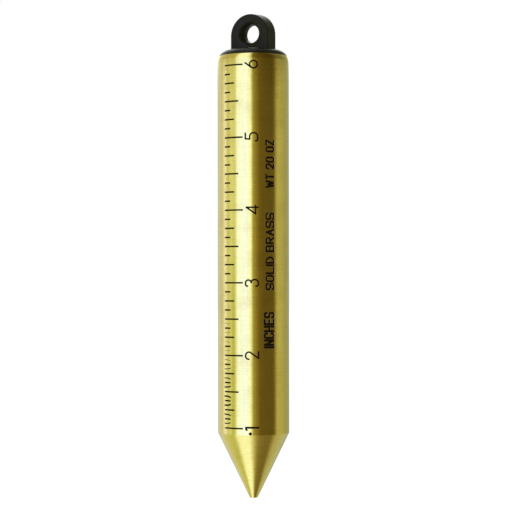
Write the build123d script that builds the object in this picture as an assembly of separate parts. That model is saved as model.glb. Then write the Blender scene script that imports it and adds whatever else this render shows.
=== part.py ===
from build123d import *
import os
from math import cos, degrees, radians, sin, sqrt, tan

# Graduated plumb bob for gauging liquid depth in a tank: a turned brass bar with a conical point,
# an inch scale engraved from the point upwards, and a black moulded eye screwed into its top.
# Millimetres. The origin is the centre of the point's flat end, which is the zero of the scale.
# +Z runs up the axis to the eye, and the front (-Y) is the side that the eye's flat face looks to.
# Azimuth is the angle round the axis, in degrees, from the front (-Y) towards +X.

INCH = 25.4

# Brass bar
BODY_RADIUS = 12.65
TIP_RADIUS = 1.4
TIP_EDGE_RADIUS = 0.3
CONE_HEIGHT = 23.1

# Quarter-round shoulder, shared by the bar and the flange of the eye
SHOULDER_RADIUS = 4.0
FLANGE_TOP_Z = 158.65
SEAM_Z = 156.5

# Moulded eye
LUG_WIDTH = 15.1
LUG_THICKNESS = 6.1
LUG_TOP_Z = 171.6
CROWN_SLOPE_DEGREES = 4.0
LUG_EDGE_RADIUS = 0.45
LUG_FOOT_RADIUS = 0.4
LUG_SINK = 1.6
LUG_FOOT_Z = FLANGE_TOP_Z - LUG_SINK
EYE_HOLE_RADIUS = 3.1
EYE_HOLE_Z = 164.53
EYE_HOLE_EDGE_RADIUS = 2.4

# Half-inch coarse screw thread between the eye's shank and the bar
THREAD_PITCH = INCH / 13
THREAD_CREST_RADIUS = 6.28
THREAD_CREST_WIDTH = THREAD_PITCH / 8
THREAD_FLANK_DEGREES = 30
THREAD_TURNS = 6
THREAD_CLEARANCE = 0.08
SHANK_RADIUS = 5.2
SHANK_LENGTH = 14.6
SHANK_POINT_CHAMFER = 0.8
SHANK_OVERLAP = 0.5
THREAD_SINK = 0.05
THREAD_ROOT_RADIUS = SHANK_RADIUS - THREAD_SINK
THREAD_RELIEF = 1.6
THREAD_TOP_Z = SEAM_Z - THREAD_RELIEF
SOCKET_RADIUS = 5.4
SOCKET_DEPTH = 18.0
SOCKET_MOUTH_CHAMFER = 1.0
DRILL_POINT_DEGREES = 118

# Engraving and the black paint in it
GROOVE_DEPTH = 0.20
PAINT_RECESS = 0.04
CUTTER_OVERSHOOT = 0.5
CUTTER_START_RADIUS = 10.0

# Scale: every line starts at one azimuth, and its length tells its rank
FIRST_INCH = 1
LAST_INCH = 6
LINE_WIDTH = 0.56
SCALE_START_AZIMUTH = -22.4
INCH_END_AZIMUTH = 13.0
HALF_END_AZIMUTH = 5.7
QUARTER_END_AZIMUTH = -2.2
EIGHTH_END_AZIMUTH = -9.6

# Sixteenths: fine lines in the lowest inches, whose free ends bend towards the eighth between them
LAST_SIXTEENTH = 39
BOLDEST_SIXTEENTH = 22
BOLDEST_SIXTEENTH_WIDTH = 0.64
FAINTEST_SIXTEENTH_WIDTH = 0.12
SIXTEENTH_WIDTH_STEP = 0.05
SIXTEENTH_AZIMUTH = -16.4
SIXTEENTH_LENGTH = 2.8
SIXTEENTH_STRAIGHT_PART = 0.6
SIXTEENTH_BEND = 0.3
SIXTEENTH_BEND_RADIUS = 4.0

# Numerals beside the inch lines, turned to be read upwards
NUMERAL_AZIMUTH = 27.6
NUMERAL_STROKE = 0.57
BOLD_NUMERAL = 1
BOLD_NUMERAL_STROKE = 0.70
NUMERAL_HEIGHT = 4.45

# Legends, also read upwards: text, height of a capital, letter width, stroke, lower end
LEGEND_BASE_AZIMUTH = 65.6
LEGENDS = {
    "legend_inches": ("INCHES", 3.45, 1.55, 0.78, 53.7),
    "legend_solid_brass": ("SOLID BRASS", 2.85, 1.95, 0.68, 73.9),
    "legend_weight": ("WT 20 OZ", 2.85, 1.5, 0.68, 109.6),
}
LETTER_GAP = 0.85
WORD_GAP = 2.1

# Punched dot under the numeral 1
DOT_RADIUS = 0.55
DOT_DEPTH = 0.35
DOT_AZIMUTH = 24.8
DOT_Z = 23.65


# ---------------------------------------------------------------- stroke lettering

def numeral_strokes(numeral):
    """Centre lines of a scale numeral: (points, corner radii), x from its middle, y from its base."""
    top = NUMERAL_HEIGHT
    loop = 1.32
    loop_y = loop + 0.3
    tangent = radians(143)
    touch = (loop * cos(tangent), loop_y + loop * sin(tangent))
    reach = (top - touch[1]) / -cos(tangent)
    return {
        1: [
            ([(0.4, 0.05), (0.4, top - 0.1)], 0),
            ([(0.4, top - 0.1), (-0.1, top - 0.1), (-0.4, top - 0.35)], 0.3),
        ],
        2: [
            ([(-1.2, 3.3), (-1.2, top), (1.3, top), (1.3, 3.0), (-0.9, 0)], (1.05, 1.2, 1.1)),
            ([(-0.9, 0), (1.4, 0)], 0),
        ],
        3: [
            ([(-1.15, 3.75), (-1.15, top), (0.95, top), (0.95, 2.5), (0.0, 2.5)], (0.65, 0.9, 0.9)),
            ([(0.0, 2.5), (1.1, 2.5), (1.1, 0), (-1.2, 0), (-1.2, 0.85)], (1.05, 1.15, 0.8)),
        ],
        4: [
            ([(0.9, 0), (0.9, top - 0.3), (-1.4, 0.95), (1.5, 0.95)], 0),
        ],
        5: [
            ([(1.3, top), (-0.6, top), (-0.75, 2.95)], 0),
            ([(-0.75, 2.95), (1.5, 2.95), (1.5, 0.2), (-1.35, 0.2), (-1.35, 0.9)], (1.3, 1.3, 0.65)),
        ],
        6: [
            ("circle", (0, loop_y), loop),
            ([touch, (touch[0] + reach * sin(tangent), top)], 0),
        ],
    }[numeral]


def letter_strokes(letter, width, height):
    """Centre lines of a legend character, from its lower left corner: (points, corner radius)."""
    middle = height / 2
    bowl = 0.42 * min(width, middle)
    ring = 0.46 * width
    stem = ([(0, 0), (0, height)], 0)
    upper_bowl = ([(0, height), (0.92 * width, height), (0.92 * width, middle), (0, middle)], bowl)
    oval = [(0, 0), (0, height), (width, height), (width, 0)]
    open_oval = [
        (width, 0.74 * height), (width, height), (0, height),
        (0, 0), (width, 0), (width, 0.26 * height),
    ]
    hook = [(0, 0.76 * height), (0, height), (width, height), (width, 0.62 * height), (0, 0)]
    quarter = width / 4
    zigzag = [(0, height), (quarter, 0), (2 * quarter, 0.8 * height), (3 * quarter, 0), (width, height)]
    snake = [
        (width, 0.8 * height), (width, height), (0, height), (0, middle),
        (width, middle), (width, 0), (0, 0), (0, 0.2 * height),
    ]
    return {
        "A": [
            ([(0, 0), (width / 2, height), (width, 0)], 0),
            ([(0.18 * width, 0.34 * height), (0.82 * width, 0.34 * height)], 0),
        ],
        "B": [stem, upper_bowl, ([(0, middle), (width, middle), (width, 0), (0, 0)], bowl)],
        "C": [(open_oval, 0.4 * width)],
        "D": [stem, ([(0, height), (width, height), (width, 0), (0, 0)], 0.8 * width)],
        "E": [
            ([(width, height), (0, height), (0, 0), (width, 0)], 0),
            ([(0, middle), (0.8 * width, middle)], 0),
        ],
        "H": [stem, ([(width, 0), (width, height)], 0), ([(0, middle), (width, middle)], 0)],
        "I": [stem],
        "L": [([(0, height), (0, 0), (width, 0)], 0)],
        "N": [([(0, 0), (0, height), (width, 0), (width, height)], 0)],
        "O": [("closed", oval, ring)],
        "R": [stem, upper_bowl, ([(0.45 * width, middle), (width, 0)], 0)],
        "S": [(snake, 0.19 * height)],
        "T": [([(0, height), (width, height)], 0), ([(width / 2, height), (width / 2, 0)], 0)],
        "W": [(zigzag, 0)],
        "Z": [([(0, height), (width, height), (0, 0), (width, 0)], 0)],
        "2": [(hook, 0.22 * height), ([(0, 0), (width, 0)], 0)],
        "0": [("closed", oval, ring)],
    }[letter]


def letter_width(letter, width):
    """The width that a legend character takes up."""
    if letter == "I":
        return 0
    if letter == "W":
        return 1.35 * width
    return width


def band(edge, width):
    """The flat strip of the given width along one straight or circular edge."""
    if edge.geom_type == GeomType.LINE:
        along = edge.tangent_at(0)
        side = Vector(-along.Y, along.X) * (width / 2)
        corners = [(edge @ 0) + side, (edge @ 1) + side, (edge @ 1) - side, (edge @ 0) - side]
        return make_face(Polyline(*corners, close=True))
    centre = edge.arc_center
    outer = [centre + (edge @ t - centre) * (1 + width / 2 / edge.radius) for t in (0, 0.5, 1)]
    inner = [centre + (edge @ t - centre) * (1 - width / 2 / edge.radius) for t in (1, 0.5, 0)]
    sides = [ThreePointArc(*outer), Line(outer[2], inner[0]), ThreePointArc(*inner), Line(inner[2], outer[0])]
    return make_face(Curve() + sides)


def round_spots(points, radius, closed):
    """Where a pen stroke needs a round end or a round corner."""
    if closed:
        return []
    if radius:
        return [points[0], points[-1]]
    return points


def ribbon(stroke, width):
    """The flat shape of one pen stroke of the given width, with round ends and corners."""
    if stroke[0] == "circle":
        centre, radius = stroke[1:]
        return Pos(*centre) * (Circle(radius + width / 2) - Circle(radius - width / 2))
    closed = stroke[0] == "closed"
    points, radius = stroke[-2:]
    path = FilletPolyline(*points, radius=radius, close=closed) if radius else Polyline(*points)
    shape = Sketch() + [band(edge, width) for edge in path.edges()]
    return shape + [Pos(*point) * Circle(width / 2) for point in round_spots(points, radius, closed)]


def drawn(strokes, width):
    """One flat shape made of several pen strokes."""
    shape = Sketch()
    for stroke in strokes:
        shape += ribbon(stroke, width)
    return shape


def drawn_text(text, height, width, stroke_width):
    """A line of text as one flat shape for each character, starting at x = 0 on the base line y = 0."""
    shapes = []
    x = 0
    for letter in text:
        if letter == " ":
            x += WORD_GAP - LETTER_GAP
            continue
        own_width = letter_width(letter, width)
        shapes.append(Pos(x, 0) * drawn(letter_strokes(letter, own_width, height), stroke_width))
        x += own_width + LETTER_GAP
    return shapes


# ---------------------------------------------------------------- marks on the round wall

def wall_shell(inner_radius, outer_radius):
    """A tube between two radii, over the whole graduated length."""
    upright = (Align.CENTER, Align.CENTER, Align.MIN)
    return Cylinder(outer_radius, SEAM_Z, align=upright) - Cylinder(inner_radius, SEAM_Z, align=upright)


def line_on_wall(z, end_azimuth, inner_radius, outer_radius):
    """One scale line: a bent bar round the wall from the scale's start azimuth to end_azimuth."""
    depth = outer_radius - inner_radius
    profile = Plane.XZ * Pos((inner_radius + outer_radius) / 2, z) * Rectangle(depth, LINE_WIDTH)
    bar = revolve(profile, Axis.Z, end_azimuth - SCALE_START_AZIMUTH)
    return Rot(0, 0, SCALE_START_AZIMUTH - 90) * bar


def wall_plane(azimuth, z):
    """The plane through the axis that faces out at an azimuth: its x runs up, its y to the viewer's left."""
    outward = (sin(radians(azimuth)), -cos(radians(azimuth)), 0)
    return Plane(origin=(0, 0, z), x_dir=(0, 0, 1), z_dir=outward)


def flat_on_wall(shape, azimuth, z):
    """A flat shape pushed out of the axis plane, past the wall, at an azimuth and height."""
    plane = wall_plane(azimuth, z)
    depth = BODY_RADIUS + CUTTER_OVERSHOOT - CUTTER_START_RADIUS
    return extrude(plane * Pos(0, 0, CUTTER_START_RADIUS) * shape, depth, dir=plane.z_dir)


def scale_lines():
    """Every full scale line as node name to a list of (height, end azimuth)."""
    lines = {"inch_lines": [], "half_inch_lines": [], "quarter_inch_lines": [], "eighth_inch_lines": []}
    for eighth in range(FIRST_INCH * 8, LAST_INCH * 8 + 1):
        z = eighth * INCH / 8
        if eighth % 8 == 0:
            lines["inch_lines"].append((z, INCH_END_AZIMUTH))
        elif eighth % 4 == 0:
            lines["half_inch_lines"].append((z, HALF_END_AZIMUTH))
        elif eighth % 2 == 0:
            lines["quarter_inch_lines"].append((z, QUARTER_END_AZIMUTH))
        else:
            lines["eighth_inch_lines"].append((z, EIGHTH_END_AZIMUTH))
    return lines


def sixteenth_line(sixteenth):
    """One fine line as a flat stroke, y to the viewer's left, its right end bent up or down in turn."""
    fading = SIXTEENTH_WIDTH_STEP * abs(sixteenth - BOLDEST_SIXTEENTH)
    width = max(BOLDEST_SIXTEENTH_WIDTH - fading, FAINTEST_SIXTEENTH_WIDTH)
    bend = SIXTEENTH_BEND if sixteenth % 4 == 1 else -SIXTEENTH_BEND
    half = SIXTEENTH_LENGTH / 2
    knee = half - SIXTEENTH_STRAIGHT_PART * SIXTEENTH_LENGTH
    return drawn([([(0, half), (0, knee), (bend, -half)], SIXTEENTH_BEND_RADIUS)], width)


def engraving():
    """Groove cutters for the bar, and the paint that fills each, as (cutters, node name to paint solids)."""
    floor = BODY_RADIUS - GROOVE_DEPTH
    paint_top = BODY_RADIUS - PAINT_RECESS
    open_top = BODY_RADIUS + CUTTER_OVERSHOOT
    cutter_shell = wall_shell(floor, open_top)
    paint_shell = wall_shell(floor, paint_top)
    cutters = []
    paint = {}
    for node, lines in scale_lines().items():
        cutters += [line_on_wall(*line, floor, open_top) for line in lines]
        paint[node] = [line_on_wall(*line, floor, paint_top) for line in lines]

    def engrave(node, shapes, azimuth, z):
        raised = [flat_on_wall(shape, azimuth, z) for shape in shapes]
        cutters.extend(solid & cutter_shell for solid in raised)
        paint.setdefault(node, []).extend(solid & paint_shell for solid in raised)

    for sixteenth in range(FIRST_INCH * 16 + 1, LAST_SIXTEENTH + 1, 2):
        engrave("sixteenth_inch_lines", [sixteenth_line(sixteenth)], SIXTEENTH_AZIMUTH, sixteenth * INCH / 16)
    for numeral in range(FIRST_INCH, LAST_INCH + 1):
        width = BOLD_NUMERAL_STROKE if numeral == BOLD_NUMERAL else NUMERAL_STROKE
        flat = Pos(0, -NUMERAL_HEIGHT / 2) * drawn(numeral_strokes(numeral), width)
        engrave(f"numeral_{numeral}", [flat], NUMERAL_AZIMUTH, numeral * INCH)
    for node, (text, height, width, stroke_width, z) in LEGENDS.items():
        half_angle = degrees((height + stroke_width) / 2 / BODY_RADIUS)
        flats = [Pos(0, -height / 2) * shape for shape in drawn_text(text, height, width, stroke_width)]
        engrave(node, flats, LEGEND_BASE_AZIMUTH - half_angle, z)
    return cutters, paint


def datum_dot(top_radius):
    """The punched dot as a short round peg, from its floor out to top_radius."""
    floor = BODY_RADIUS - DOT_DEPTH
    peg = flat_on_wall(Circle(DOT_RADIUS), DOT_AZIMUTH, DOT_Z)
    return peg & wall_shell(floor, top_radius)


# ---------------------------------------------------------------- bar and eye

def shoulder_point(z):
    """Radius of the quarter-round shoulder at a height."""
    rise = z - (FLANGE_TOP_Z - SHOULDER_RADIUS)
    return BODY_RADIUS - SHOULDER_RADIUS + sqrt(max(SHOULDER_RADIUS**2 - rise**2, 0))


def shoulder_arc(low_z, high_z):
    """The part of the shoulder's profile between two heights."""
    middle_z = (low_z + high_z) / 2
    ends = [(shoulder_point(z), 0, z) for z in (low_z, middle_z, high_z)]
    return ThreePointArc(*ends)


def turned(profile_edges):
    """A solid of revolution from its half profile in the XZ plane."""
    return revolve(make_face(Curve() + profile_edges), Axis.Z)


def thread_ridge(growth):
    """The helical ridge of the screw thread, made larger on every side by growth."""
    rise = THREAD_CREST_RADIUS + growth - THREAD_ROOT_RADIUS
    crest_half = THREAD_CREST_WIDTH / 2 + growth
    root_half = crest_half + rise * tan(radians(THREAD_FLANK_DEGREES))
    height = THREAD_TURNS * THREAD_PITCH
    helix = Helix(THREAD_PITCH, height, THREAD_ROOT_RADIUS)
    corners = [(0, -root_half), (rise, -crest_half), (rise, crest_half), (0, root_half)]
    section_plane = Plane(origin=helix @ 0, x_dir=(1, 0, 0), z_dir=helix % 0)
    section = section_plane * make_face(Polyline(*corners, close=True))
    return Pos(0, 0, THREAD_TOP_Z - height) * sweep(section, path=helix, is_frenet=True)


def socket_hole():
    """The drilled hole for the shank, with a countersunk mouth and the drill's conical end."""
    floor_z = SEAM_Z - SOCKET_DEPTH
    point_depth = SOCKET_RADIUS / tan(radians(DRILL_POINT_DEGREES / 2))
    mouth_radius = SOCKET_RADIUS + SOCKET_MOUTH_CHAMFER
    above_z = SEAM_Z + CUTTER_OVERSHOOT
    corners = [
        (0, 0, floor_z - point_depth),
        (SOCKET_RADIUS, 0, floor_z),
        (SOCKET_RADIUS, 0, SEAM_Z - SOCKET_MOUTH_CHAMFER),
        (mouth_radius, 0, SEAM_Z),
        (mouth_radius, 0, above_z),
        (0, 0, above_z),
    ]
    return turned([Polyline(*corners, close=True)])


def blank_bar():
    """The bar before engraving: point, cone, cylinder and lower shoulder, with its tapped socket."""
    shoulder_z = FLANGE_TOP_Z - SHOULDER_RADIUS
    seam_radius = shoulder_point(SEAM_Z)
    edges = [
        Line((0, 0, 0), (TIP_RADIUS, 0, 0)),
        Line((TIP_RADIUS, 0, 0), (BODY_RADIUS, 0, CONE_HEIGHT)),
        Line((BODY_RADIUS, 0, CONE_HEIGHT), (BODY_RADIUS, 0, shoulder_z)),
        shoulder_arc(shoulder_z, SEAM_Z),
        Line((seam_radius, 0, SEAM_Z), (0, 0, SEAM_Z)),
        Line((0, 0, SEAM_Z), (0, 0, 0)),
    ]
    bar = turned(edges)
    tip_edge = bar.edges().filter_by(GeomType.CIRCLE).sort_by(Axis.Z)[0]
    bar = fillet(tip_edge, TIP_EDGE_RADIUS)
    return bar - socket_hole() - thread_ridge(THREAD_CLEARANCE)


def shank():
    """The plain core of the screw under the flange, with a chamfered end."""
    end_z = SEAM_Z - SHANK_LENGTH
    head_z = SEAM_Z + SHANK_OVERLAP
    corners = [
        (0, 0, head_z),
        (SHANK_RADIUS, 0, head_z),
        (SHANK_RADIUS, 0, end_z + SHANK_POINT_CHAMFER),
        (SHANK_RADIUS - SHANK_POINT_CHAMFER, 0, end_z),
        (0, 0, end_z),
    ]
    return turned([Polyline(*corners, close=True)])


def flange():
    """The round flange that finishes the bar's shoulder."""
    seam_radius = shoulder_point(SEAM_Z)
    top_radius = BODY_RADIUS - SHOULDER_RADIUS
    edges = [
        Line((0, 0, SEAM_Z), (seam_radius, 0, SEAM_Z)),
        shoulder_arc(SEAM_Z, FLANGE_TOP_Z),
        Line((top_radius, 0, FLANGE_TOP_Z), (0, 0, FLANGE_TOP_Z)),
        Line((0, 0, FLANGE_TOP_Z), (0, 0, SEAM_Z)),
    ]
    return turned(edges)


def lug():
    """The flat eye lug: a round-topped plate with a cross hole. Its crown rises a little to the back."""
    crown = LUG_WIDTH / 2
    crown_z = LUG_TOP_Z - crown
    sides = Polyline((-crown, crown_z), (-crown, LUG_FOOT_Z), (crown, LUG_FOOT_Z), (crown, crown_z))
    outline = sides + ThreePointArc((crown, crown_z), (0, LUG_TOP_Z), (-crown, crown_z))
    slope = radians(CROWN_SLOPE_DEGREES)
    half_run = LUG_THICKNESS / 2 / cos(slope)
    plate = extrude(Plane.XZ * make_face(outline), half_run, dir=(0, cos(slope), sin(slope)), both=True)
    rims = plate.edges().filter_by(GeomType.CIRCLE) + plate.edges().filter_by(Axis.Z)
    plate = fillet(rims, LUG_EDGE_RADIUS)
    plate -= Pos(0, 0, EYE_HOLE_Z) * Rot(90, 0, 0) * Cylinder(EYE_HOLE_RADIUS, LUG_THICKNESS * 2)
    circles = plate.edges().filter_by(GeomType.CIRCLE)
    hole_rims = [edge for edge in circles if abs(edge.radius - EYE_HOLE_RADIUS) < 0.01]
    return fillet(hole_rims, EYE_HOLE_EDGE_RADIUS)


def eye_head():
    """Flange and lug, with a small fillet round the lug's foot."""
    head = flange() + lug()
    on_top = head.edges().filter_by_position(Axis.Z, FLANGE_TOP_Z - 0.01, FLANGE_TOP_Z + 0.01)
    foot = [edge for edge in on_top if edge.geom_type != GeomType.CIRCLE or edge.radius < LUG_WIDTH / 2]
    return fillet(foot, LUG_FOOT_RADIUS)


def moulded_eye():
    """Head, shank and thread, moulded in one piece."""
    return eye_head() + shank() + thread_ridge(0)


# ---------------------------------------------------------------- files

def write_node(name, solids):
    """One STEP file for a node, holding its separate solids."""
    shape = solids[0] if len(solids) == 1 else Compound(children=solids)
    export_step(shape, f"parts/{name}.step")


def one_solid(shape):
    """The single solid of a shape."""
    solids = shape.solids()
    if len(solids) != 1:
        raise ValueError(f"expected one solid, found {len(solids)}")
    return solids[0]


def main():
    os.makedirs("parts", exist_ok=True)
    cutters, paint = engraving()
    paint["datum_dot"] = [datum_dot(BODY_RADIUS - PAINT_RECESS)]
    cutters.append(datum_dot(BODY_RADIUS + CUTTER_OVERSHOOT))
    write_node("brass_body", [one_solid(blank_bar() - cutters)])
    write_node("eye_plug", [one_solid(moulded_eye())])
    for node, solids in paint.items():
        write_node(f"{node}_paint", [one_solid(solid) for solid in solids])


main()
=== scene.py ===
from math import atan, cos, degrees, pi, radians, sin, sqrt, tan

import bmesh
import bpy
import numpy as np
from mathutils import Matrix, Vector


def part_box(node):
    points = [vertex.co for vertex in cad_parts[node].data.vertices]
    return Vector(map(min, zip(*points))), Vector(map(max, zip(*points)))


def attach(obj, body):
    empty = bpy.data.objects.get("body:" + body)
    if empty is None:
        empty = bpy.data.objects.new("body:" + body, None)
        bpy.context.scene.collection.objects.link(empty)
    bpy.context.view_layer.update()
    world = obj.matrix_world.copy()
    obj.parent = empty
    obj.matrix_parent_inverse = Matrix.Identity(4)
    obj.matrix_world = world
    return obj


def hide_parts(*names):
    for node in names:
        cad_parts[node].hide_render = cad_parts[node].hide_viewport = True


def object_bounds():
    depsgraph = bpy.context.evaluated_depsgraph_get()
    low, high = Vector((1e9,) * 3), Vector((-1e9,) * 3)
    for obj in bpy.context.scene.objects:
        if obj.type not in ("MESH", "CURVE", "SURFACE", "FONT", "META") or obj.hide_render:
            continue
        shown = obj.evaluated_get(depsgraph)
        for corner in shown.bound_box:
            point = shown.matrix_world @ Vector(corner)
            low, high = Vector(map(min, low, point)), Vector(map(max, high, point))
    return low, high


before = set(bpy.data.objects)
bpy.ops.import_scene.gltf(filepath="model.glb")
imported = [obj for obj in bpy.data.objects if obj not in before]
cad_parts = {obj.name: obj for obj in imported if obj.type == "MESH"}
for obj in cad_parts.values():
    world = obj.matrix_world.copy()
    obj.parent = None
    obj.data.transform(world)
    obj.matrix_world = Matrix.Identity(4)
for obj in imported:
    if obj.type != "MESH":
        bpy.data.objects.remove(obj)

# A graduated brass plumb bob with a moulded black eye, in metres. The CAD nodes stay for the eye and for
# the paint in the engraving. The bar is a finer lathe mesh, cut with the same engraving.
# Azimuth is measured round the axis from the front (-Y) towards +X, as in the CAD.

MM = 0.001
cad_low, cad_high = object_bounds()

# ---------------------------------------------------------------- sizes of the bar

_, bar_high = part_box("brass_body")
BAR_RADIUS = bar_high.x
SEAM_Z = bar_high.z
CONE_HEIGHT = 23.1 * MM
TIP_RADIUS = 1.4 * MM
TIP_EDGE_RADIUS = 0.3 * MM
SHOULDER_RADIUS = 4.0 * MM
FLANGE_TOP_Z = 158.65 * MM
EDGE_BREAK = 0.10 * MM
SEAM_CHAMFER_OUT = 0.035 * MM
SEAM_CHAMFER_DOWN = 0.07 * MM

# The socket, as a plain hole that clears the eye's thread
SOCKET_RADIUS = 6.45 * MM
SOCKET_DEPTH = 18.0 * MM
SOCKET_MOUTH_CHAMFER = 1.0 * MM
DRILL_HALF_ANGLE = 59

# Mesh density, and how exactly a face has to lie on the cylinder to count as part of it
LATHE_SEGMENTS = 288
TIP_EDGE_STEPS = 5
BROW_STEPS = 3
CYLINDER_STEPS = 12
SHOULDER_STEPS = 10
SHARP_ANGLE = 28
MERGE_DISTANCE = 1e-7
CYLINDER_NORMAL_LIMIT = 0.02
CYLINDER_TOLERANCE = 0.01 * MM

# How far the paint lies below the surface, and how far its solids are pushed out to cut the grooves open
PAINT_RECESS = 0.04 * MM
GROOVE_OPENING = 0.3 * MM

# ---------------------------------------------------------------- camera and floor

CAMERA_AZIMUTH = 30.0
CAMERA_DISTANCE = 620.0 * MM
CAMERA_HEIGHT = 79.0 * MM
CAMERA_LENS = 122.7
AIM_HEIGHT = 85.66 * MM
AIM_RIGHT = 0.91 * MM
CAMERA_ROLL = -0.08
FLOOR_SIZE = 6.0
FLOOR_GAP = 4 * MM


def towards(azimuth, distance, height):
    """A point at an azimuth, a distance from the axis and a height."""
    angle = radians(azimuth)
    return Vector((sin(angle) * distance, -cos(angle) * distance, height))


# ---------------------------------------------------------------- node helpers

class Nodes:
    """A short way to add nodes to a material's or world's tree and to link them."""

    def __init__(self, tree):
        self.tree = tree
        tree.nodes.clear()

    def add(self, kind, inputs=None, **settings):
        node = self.tree.nodes.new(kind)
        for name, value in settings.items():
            setattr(node, name, value)
        for name, value in (inputs or {}).items():
            self.set(node.inputs[name], value)
        return node

    def set(self, socket, value):
        if isinstance(value, bpy.types.NodeSocket):
            self.tree.links.new(value, socket)
        else:
            socket.default_value = value

    def math(self, operation, a, b):
        return self.add("ShaderNodeMath", {0: a, 1: b}, operation=operation).outputs[0]

    def noise(self, vector, scale, detail):
        """A noise texture's value, from about 0.2 to 0.8."""
        inputs = {"Vector": vector, "Scale": scale, "Detail": detail}
        return self.add("ShaderNodeTexNoise", inputs).outputs["Fac"]

    def ramp(self, factor, stops):
        """A colour ramp through (position, colour or grey value) stops."""
        node = self.add("ShaderNodeValToRGB", {"Fac": factor})
        elements = node.color_ramp.elements
        while len(elements) < len(stops):
            elements.new(0.5)
        for element, (position, value) in zip(elements, stops):
            element.position = position
            grey = isinstance(value, (int, float))
            element.color = (value, value, value, 1) if grey else (*value, 1)
        return node.outputs["Color"]

    def mix(self, factor, a, b, blend="MIX"):
        node = self.add("ShaderNodeMix", data_type="RGBA", blend_type=blend)
        self.set(node.inputs["Factor"], factor)
        self.set(node.inputs[6], a if isinstance(a, bpy.types.NodeSocket) else (*a, 1))
        self.set(node.inputs[7], b if isinstance(b, bpy.types.NodeSocket) else (*b, 1))
        return node.outputs[2]


def new_material(name):
    material = bpy.data.materials.new(name)
    material.use_nodes = True
    return material, Nodes(material.node_tree)


def finish_surface(nodes, colour, roughness, bump, constants):
    """The shader and output of a material, with its constant inputs by name."""
    linked = {"Base Color": colour, "Roughness": roughness, "Normal": bump.outputs[0]}
    shader = nodes.add("ShaderNodeBsdfPrincipled", {**linked, **constants})
    output = nodes.add("ShaderNodeOutputMaterial")
    nodes.set(output.inputs["Surface"], shader.outputs[0])


# ---------------------------------------------------------------- materials

# Texture scales count the features in a metre: at 1000, a feature is about a millimetre.

BRASS_COLOUR = (0.90, 0.755, 0.213)
BRASS_TARNISH = (0.70, 0.53, 0.135)
BRASS_SPECK = (0.33, 0.24, 0.07)
WORN_PAINT = (0.30, 0.23, 0.06)
PAINT_WEAR = 0.15
THIN_PAINT_WEAR = 0.22


def turned_coordinates(nodes, along, around):
    """Position in the bar's own space, stretched so that a texture runs round the bar in fine rings."""
    position = nodes.add("ShaderNodeTexCoord").outputs["Object"]
    stretch = (around, around, along)
    return nodes.add("ShaderNodeVectorMath", {0: position, 1: stretch}, operation="MULTIPLY").outputs[0]


def make_brass():
    """Satin turned brass: fine tool rings, faint streaks and waviness, slight tarnish, handling marks."""
    material, nodes = new_material("turned_brass")
    position = nodes.add("ShaderNodeTexCoord").outputs["Object"]
    rings = nodes.noise(turned_coordinates(nodes, 5200, 90), 1.0, 3.0)
    fine_rings = nodes.noise(turned_coordinates(nodes, 14000, 900), 1.0, 2.0)
    streaks = nodes.noise(turned_coordinates(nodes, 45, 2600), 1.0, 2.0)
    waves = nodes.noise(position, 520.0, 1.0)
    cloud = nodes.noise(position, 140.0, 6.0)
    mottle = nodes.noise(position, 1100.0, 3.0)
    tarnish = nodes.ramp(cloud, [(0.50, 0.0), (0.78, 0.45)])
    colour = nodes.mix(tarnish, BRASS_COLOUR, BRASS_TARNISH)
    for texture, darkest in ((rings, 0.90), (mottle, 0.93), (streaks, 0.90)):
        colour = nodes.mix(1.0, colour, nodes.ramp(texture, [(0.32, darkest), (0.62, 1.0)]), "MULTIPLY")
    specks = nodes.add("ShaderNodeTexVoronoi", {"Vector": position, "Scale": 420.0}).outputs["Distance"]
    colour = nodes.mix(nodes.ramp(specks, [(0.035, 0.55), (0.06, 0.0)]), colour, BRASS_SPECK)
    nicks = nodes.add("ShaderNodeTexVoronoi", {"Vector": position, "Scale": 310.0}).outputs["Distance"]
    nick_roughness = nodes.ramp(nicks, [(0.03, 0.35), (0.06, 0.0)])
    roughness = nodes.math("ADD", nodes.ramp(cloud, [(0.3, 0.09), (0.75, 0.15)]), nick_roughness)
    height = nodes.math("ADD", nodes.math("ADD", rings, fine_rings), nodes.math("MULTIPLY", waves, 5.0))
    bump = nodes.add("ShaderNodeBump", {"Height": height, "Strength": 0.10, "Distance": 0.00002})
    finish_surface(nodes, colour, roughness, bump, {"Metallic": 1.0})
    return material


def make_moulded_black():
    """Semi-gloss black moulded plastic with a fine, slightly uneven skin."""
    material, nodes = new_material("moulded_black")
    position = nodes.add("ShaderNodeTexCoord").outputs["Object"]
    grain = nodes.noise(position, 2600.0, 3.0)
    flow = nodes.noise(position, 260.0, 4.0)
    colour = nodes.ramp(flow, [(0.3, (0.0125, 0.0120, 0.0040)), (0.75, (0.0175, 0.0165, 0.0070))])
    roughness = nodes.ramp(flow, [(0.3, 0.26), (0.7, 0.36)])
    height = nodes.math("ADD", grain, nodes.math("MULTIPLY", flow, 2.0))
    bump = nodes.add("ShaderNodeBump", {"Height": height, "Strength": 0.25, "Distance": 0.00004})
    finish_surface(nodes, colour, roughness, bump, {"Specular IOR Level": 0.11})
    return material


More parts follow.
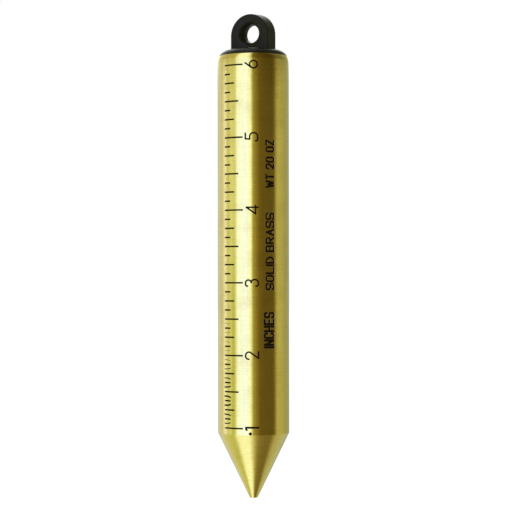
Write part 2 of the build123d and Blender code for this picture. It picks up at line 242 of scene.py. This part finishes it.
def make_paint(name, wear):
    """Black enamel in the engraving. Wear from 0 to 1 lets brass show through in flecks."""
    material, nodes = new_material(name)
    position = nodes.add("ShaderNodeTexCoord").outputs["Object"]
    fleck = nodes.noise(position, 1900.0, 3.0)
    cloud = nodes.noise(position, 700.0, 2.0)
    colour = nodes.ramp(cloud, [(0.3, (0.0060, 0.0035, 0.0015)), (0.8, (0.0150, 0.0095, 0.0040))])
    worn = nodes.ramp(fleck, [(0.72 - 0.3 * wear, 0.0), (0.82 - 0.3 * wear, 1.0)])
    colour = nodes.mix(worn, colour, WORN_PAINT)
    roughness = nodes.ramp(cloud, [(0.3, 0.60), (0.7, 0.80)])
    bump = nodes.add("ShaderNodeBump", {"Height": fleck, "Strength": 0.3, "Distance": 0.00003})
    finish_surface(nodes, colour, roughness, bump, {"Specular IOR Level": 0.04})
    return material


# ---------------------------------------------------------------- the brass bar

def arc_points(centre, radius, start, end, steps):
    """(radius, height) points along an arc of the profile, angles in degrees up from the horizontal."""
    angles = [radians(start + (end - start) * step / steps) for step in range(steps + 1)]
    return [(centre[0] + radius * cos(a), centre[1] + radius * sin(a)) for a in angles]


def bar_profile():
    """Half outline of the bar: up the outside from the tip, over the top and down into the socket."""
    cone_slope = degrees(atan(CONE_HEIGHT / (BAR_RADIUS - TIP_RADIUS)))
    outward = cone_slope - 90
    tip_setback = TIP_EDGE_RADIUS * tan(radians(cone_slope / 2))
    tip_centre = (TIP_RADIUS - tip_setback, TIP_EDGE_RADIUS)
    tip = arc_points(tip_centre, TIP_EDGE_RADIUS, -90, outward, TIP_EDGE_STEPS)
    brow_setback = EDGE_BREAK * tan(radians(-outward / 2))
    brow_centre = (BAR_RADIUS - EDGE_BREAK, CONE_HEIGHT + brow_setback)
    brow = arc_points(brow_centre, EDGE_BREAK, outward, 0, BROW_STEPS)
    shoulder_centre = (BAR_RADIUS - SHOULDER_RADIUS, FLANGE_TOP_Z - SHOULDER_RADIUS)
    foot_z = brow[-1][1]
    height = shoulder_centre[1] - foot_z
    cylinder = [(BAR_RADIUS, foot_z + height * k / CYLINDER_STEPS) for k in range(1, CYLINDER_STEPS)]
    seam_rise = SEAM_Z - shoulder_centre[1]
    seam_angle = degrees(atan(seam_rise / sqrt(SHOULDER_RADIUS**2 - seam_rise**2)))
    shoulder = arc_points(shoulder_centre, SHOULDER_RADIUS, 0, seam_angle, SHOULDER_STEPS)
    seam_radius, seam_z = shoulder.pop()
    broken_edge = [
        (seam_radius + SEAM_CHAMFER_OUT, seam_z - SEAM_CHAMFER_DOWN),
        (seam_radius - EDGE_BREAK, seam_z),
    ]
    socket = [
        (SOCKET_RADIUS + SOCKET_MOUTH_CHAMFER, seam_z),
        (SOCKET_RADIUS, seam_z - SOCKET_MOUTH_CHAMFER),
        (SOCKET_RADIUS, seam_z - SOCKET_DEPTH),
        (0.0, seam_z - SOCKET_DEPTH - SOCKET_RADIUS / tan(radians(DRILL_HALF_ANGLE))),
    ]
    return [(0.0, 0.0)] + tip + brow + cylinder + shoulder + broken_edge + socket


def lathe(profile, segments):
    """A closed mesh turned from a profile that starts and ends on the axis."""
    mesh = bmesh.new()
    rings = []
    for radius, z in profile:
        if radius == 0.0:
            rings.append([mesh.verts.new((0, 0, z))])
            continue
        angles = [2 * pi * k / segments for k in range(segments)]
        rings.append([mesh.verts.new((radius * cos(a), radius * sin(a), z)) for a in angles])
    for low, high in zip(rings, rings[1:]):
        for k in range(segments):
            after = (k + 1) % segments
            corners = [low[k % len(low)], low[after % len(low)], high[after % len(high)], high[k % len(high)]]
            unique = list(dict.fromkeys(corners))
            mesh.faces.new(unique)
    bmesh.ops.recalc_face_normals(mesh, faces=mesh.faces)
    return mesh


def object_from(mesh, name):
    """A new object in the scene from a bmesh."""
    data = bpy.data.meshes.new(name)
    mesh.to_mesh(data)
    mesh.free()
    piece = bpy.data.objects.new(name, data)
    bpy.context.scene.collection.objects.link(piece)
    return piece


def engraving_cutter():
    """The paint solids as one cutter, with their outer faces pushed out past the bar's surface."""
    cutter = bmesh.new()
    for name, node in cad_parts.items():
        if name.endswith("_paint"):
            cutter.from_mesh(node.data)
    bmesh.ops.remove_doubles(cutter, verts=cutter.verts, dist=MERGE_DISTANCE)
    for vertex in cutter.verts:
        radius = vertex.co.xy.length
        if radius > BAR_RADIUS - PAINT_RECESS * 2:
            vertex.co.xy *= (BAR_RADIUS + GROOVE_OPENING) / radius
    bmesh.ops.recalc_face_normals(cutter, faces=cutter.faces)
    return object_from(cutter, "engraving_cutter")


def true_cylinder_normals(data):
    """Exact radial shading normals on the cylinder, so that the engraving doesn't disturb its reflections."""
    normals = np.zeros((len(data.loops), 3))
    for face in data.polygons:
        if abs(face.normal.z) > CYLINDER_NORMAL_LIMIT:
            continue
        corners = [data.vertices[v].co for v in face.vertices]
        if min(corner.xy.length for corner in corners) < BAR_RADIUS - CYLINDER_TOLERANCE:
            continue
        for loop, corner in zip(face.loop_indices, corners):
            normals[loop, :2] = corner.xy.normalized()
    data.normals_split_custom_set(normals.tolist())


def make_bar(material):
    """The engraved brass bar."""
    blank = object_from(lathe(bar_profile(), LATHE_SEGMENTS), "brass_bar")
    cutter = engraving_cutter()
    engrave = blank.modifiers.new("engraving", "BOOLEAN")
    engrave.operation = "DIFFERENCE"
    engrave.solver = "EXACT"
    engrave.object = cutter
    evaluated = blank.evaluated_get(bpy.context.evaluated_depsgraph_get())
    data = bpy.data.meshes.new_from_object(evaluated)
    blank.modifiers.clear()
    blank.data = data
    bpy.data.objects.remove(cutter)
    data.shade_smooth()
    data.set_sharp_from_angle(angle=radians(SHARP_ANGLE))
    true_cylinder_normals(data)
    data.materials.clear()
    data.materials.append(material)
    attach(blank, "root")
    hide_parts("brass_body")


# ---------------------------------------------------------------- studio

# Light round the object by azimuth from the camera, in degrees: what the brass mirrors. Each list is for
# one range of heights, and a height is the z of the unit direction.

# Near the horizontal: mirrored by the cylinder.
LEVEL_LIGHT = [
    (-180, (0.42, 0.43, 0.42)),
    (-150, (0.73, 0.76, 0.83)),
    (-130, (0.74, 0.78, 0.86)),
    (-120, (0.75, 0.74, 0.84)),
    (-112, (0.96, 0.98, 1.45)),
    (-102, (1.14, 1.16, 2.05)),
    (-95, (0.80, 0.88, 0.74)),
    (-88, (0.69, 0.80, 0.56)),
    (-78, (0.89, 0.96, 0.92)),
    (-60, (0.85, 0.91, 0.90)),
    (-56, (1.12, 1.30, 1.80)),
    (-51, (1.22, 1.48, 3.05)),
    (-26, (1.22, 1.50, 3.75)),
    (-14, (1.24, 1.50, 2.75)),
    (-8, (1.22, 1.36, 1.85)),
    (-5, (0.93, 0.95, 1.00)),
    (-2, (0.44, 0.42, 0.17)),
    (4, (0.37, 0.33, 0.10)),
    (10, (0.30, 0.225, 0.07)),
    (20, (0.175, 0.125, 0.036)),
    (32, (0.148, 0.108, 0.033)),
    (60, (0.134, 0.102, 0.040)),
    (69, (0.16, 0.122, 0.043)),
    (74, (0.30, 0.24, 0.09)),
    (80, (0.49, 0.46, 0.29)),
    (87, (0.56, 0.55, 0.325)),
    (104, (0.51, 0.52, 0.345)),
    (124, (0.42, 0.43, 0.305)),
    (140, (0.41, 0.42, 0.37)),
    (180, (0.42, 0.43, 0.42)),
]

# From below: mirrored by the cone. Its pattern widens a little with depth.
LOW_LIGHT = [
    (-180, (0.60, 0.64, 0.70)),
    (-135, (0.74, 0.80, 0.95)),
    (-101, (0.74, 0.76, 0.63)),
    (-77, (0.63, 0.69, 0.35)),
    (-66, (0.70, 0.75, 0.60)),
    (-56, (1.12, 1.20, 1.45)),
    (-50, (1.22, 1.34, 1.80)),
    (-35, (1.22, 1.38, 2.00)),
    (-18, (1.22, 1.37, 1.90)),
    (-8, (0.98, 1.03, 1.05)),
    (3, (0.58, 0.57, 0.42)),
    (12, (0.38, 0.34, 0.20)),
    (21, (0.28, 0.23, 0.10)),
    (40, (0.22, 0.175, 0.075)),
    (60, (0.215, 0.172, 0.075)),
    (70, (0.35, 0.32, 0.20)),
    (80, (0.52, 0.49, 0.36)),
    (104, (0.55, 0.61, 0.56)),
    (130, (0.56, 0.60, 0.62)),
    (180, (0.60, 0.64, 0.70)),
]

# From above: mirrored by the shoulder and the flange's edge.
HIGH_LIGHT = [
    (-180, (1.20, 1.22, 1.15)),
    (-164, (1.75, 1.80, 1.65)),
    (-148, (0.95, 0.96, 0.90)),
    (-125, (0.66, 0.66, 0.62)),
    (-95, (0.54, 0.53, 0.38)),
    (-78, (0.60, 0.58, 0.30)),
    (-62, (0.63, 0.61, 0.30)),
    (-57, (1.08, 1.18, 1.60)),
    (-50, (1.24, 1.48, 2.40)),
    (-20, (1.24, 1.48, 2.40)),
    (-12, (1.05, 1.15, 1.30)),
    (-4, (0.28, 0.21, 0.06)),
    (4, (0.16, 0.12, 0.035)),
    (30, (0.095, 0.066, 0.018)),
    (60, (0.070, 0.050, 0.014)),
    (76, (0.13, 0.10, 0.035)),
    (90, (0.19, 0.165, 0.08)),
    (110, (0.22, 0.205, 0.15)),
    (128, (0.32, 0.32, 0.26)),
    (148, (0.40, 0.40, 0.36)),
    (158, (0.80, 0.80, 0.75)),
    (169, (1.75, 1.80, 1.70)),
    (180, (1.20, 1.22, 1.15)),
]

# A factor on the level light below the horizontal: a duller stripe beside the bright card.
DULL_STRIPE = [
    (-84, (1.00, 1.00, 1.00)),
    (-78, (0.92, 0.93, 0.82)),
    (-73, (0.76, 0.77, 0.46)),
    (-66, (0.68, 0.70, 0.36)),
    (-62, (0.86, 0.88, 0.72)),
    (-59, (1.00, 1.00, 1.00)),
]

# How fast the low light's pattern widens with depth
LOW_WIDENING = 0.30

# Heights at which the stripe and the low light start and are complete, and the high light's share by height
STRIPE_HEIGHTS = (0.035, -0.010)
LOW_HEIGHTS = (-0.15, -0.45)
HIGH_SHARE = [(0.1165, 0.0), (0.1200, 0.35), (0.1250, 0.85), (0.30, 1.0)]


def ramp_stops(light):
    """The stops of a light list as places from 0 to 1 round the horizon."""
    return [((azimuth + 180) / 360, colour) for azimuth, colour in light]


def height_share(nodes, z, heights):
    """A share that grows smoothly from 0 to 1 between two heights of the direction."""
    inputs = {"Value": z, "From Min": heights[0], "From Max": heights[1], "To Min": 0.0, "To Max": 1.0}
    return nodes.add("ShaderNodeMapRange", inputs, interpolation_type="SMOOTHSTEP").outputs[0]


def mirrored_light(nodes, x, y, z):
    """The light from a direction, as the object sees it."""
    front = nodes.math("MULTIPLY", y, -1.0)
    azimuth = nodes.math("SUBTRACT", nodes.math("ARCTAN2", x, front), radians(CAMERA_AZIMUTH))
    wrapped = nodes.add("ShaderNodeMath", {0: azimuth, 1: pi, 2: -pi}, operation="WRAP").outputs[0]
    below = nodes.math("MAXIMUM", nodes.math("MULTIPLY", z, -1.0), 0.0)
    widening = nodes.math("ADD", 1.0, nodes.math("MULTIPLY", below, LOW_WIDENING))
    level_place = nodes.math("ADD", nodes.math("DIVIDE", wrapped, 2 * pi), 0.5)
    low_place = nodes.math("ADD", nodes.math("DIVIDE", nodes.math("DIVIDE", wrapped, widening), 2 * pi), 0.5)
    level = nodes.ramp(level_place, ramp_stops(LEVEL_LIGHT))
    low = nodes.ramp(low_place, ramp_stops(LOW_LIGHT))
    high = nodes.ramp(level_place, ramp_stops(HIGH_LIGHT))
    stripe = nodes.ramp(level_place, ramp_stops(DULL_STRIPE))
    level = nodes.mix(height_share(nodes, z, STRIPE_HEIGHTS), level, stripe, "MULTIPLY")
    level_and_low = nodes.mix(height_share(nodes, z, LOW_HEIGHTS), level, low)
    return nodes.mix(nodes.ramp(z, HIGH_SHARE), level_and_low, high)


def make_world():
    """A white cyclorama to the eye, with the studio's cards and walls as the brass mirrors them."""
    world = bpy.data.worlds.new("studio")
    world.use_nodes = True
    bpy.context.scene.world = world
    nodes = Nodes(world.node_tree)
    direction = nodes.add("ShaderNodeTexCoord").outputs["Generated"]
    split = nodes.add("ShaderNodeSeparateXYZ", {0: direction})
    mirrored = mirrored_light(nodes, *split.outputs)
    seen = nodes.add("ShaderNodeLightPath").outputs["Is Camera Ray"]
    colour = nodes.mix(seen, mirrored, (1.0, 1.0, 1.0))
    background = nodes.add("ShaderNodeBackground", {"Color": colour, "Strength": 1.0})
    output = nodes.add("ShaderNodeOutputWorld")
    nodes.set(output.inputs["Surface"], background.outputs[0])


def make_floor():
    """A plain white floor just under the point, which melts into the white background."""
    bpy.ops.mesh.primitive_plane_add(size=FLOOR_SIZE, location=(0, 0, cad_low.z - FLOOR_GAP))
    floor = bpy.context.object
    floor.name = "floor"
    material, nodes = new_material("white_floor")
    shader = nodes.add("ShaderNodeBsdfDiffuse", {"Color": (0.85, 0.85, 0.85, 1)})
    glow = nodes.add("ShaderNodeEmission", {"Color": (1, 1, 1, 1), "Strength": 1.15})
    mixed = nodes.add("ShaderNodeMixShader", {0: 0.9, 1: shader.outputs[0], 2: glow.outputs[0]})
    output = nodes.add("ShaderNodeOutputMaterial")
    nodes.set(output.inputs["Surface"], mixed.outputs[0])
    floor.data.materials.append(material)
    floor.visible_glossy = False


def make_camera():
    """The camera at the photograph's distance and height, turned a little for its framing."""
    camera_data = bpy.data.cameras.new("camera")
    camera_data.sensor_width = 36.0
    camera_data.lens = CAMERA_LENS
    camera_data.clip_start = 0.01
    camera_data.clip_end = 50.0
    camera = bpy.data.objects.new("camera", camera_data)
    bpy.context.scene.collection.objects.link(camera)
    camera.location = towards(CAMERA_AZIMUTH, CAMERA_DISTANCE, CAMERA_HEIGHT)
    aim = towards(CAMERA_AZIMUTH + 90, AIM_RIGHT, AIM_HEIGHT)
    facing = (aim - camera.location).to_track_quat("-Z", "Y")
    camera.rotation_euler = facing.to_euler()
    camera.rotation_euler.rotate_axis("Z", radians(CAMERA_ROLL))
    bpy.context.scene.camera = camera


# ---------------------------------------------------------------- scene

def paint_cad_nodes():
    """New materials for the CAD nodes that stay."""
    black = make_moulded_black()
    paint = make_paint("engraving_paint", PAINT_WEAR)
    thin_paint = make_paint("worn_engraving_paint", THIN_PAINT_WEAR)
    others = {"eye_plug": black, "sixteenth_inch_lines_paint": thin_paint}
    for name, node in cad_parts.items():
        if name == "brass_body":
            continue
        node.data.materials.clear()
        node.data.materials.append(others.get(name, paint))


scene = bpy.context.scene
scene.view_settings.view_transform = "Standard"
scene.view_settings.look = "None"
make_camera()
make_world()
make_floor()
make_bar(make_brass())
paint_cad_nodes()
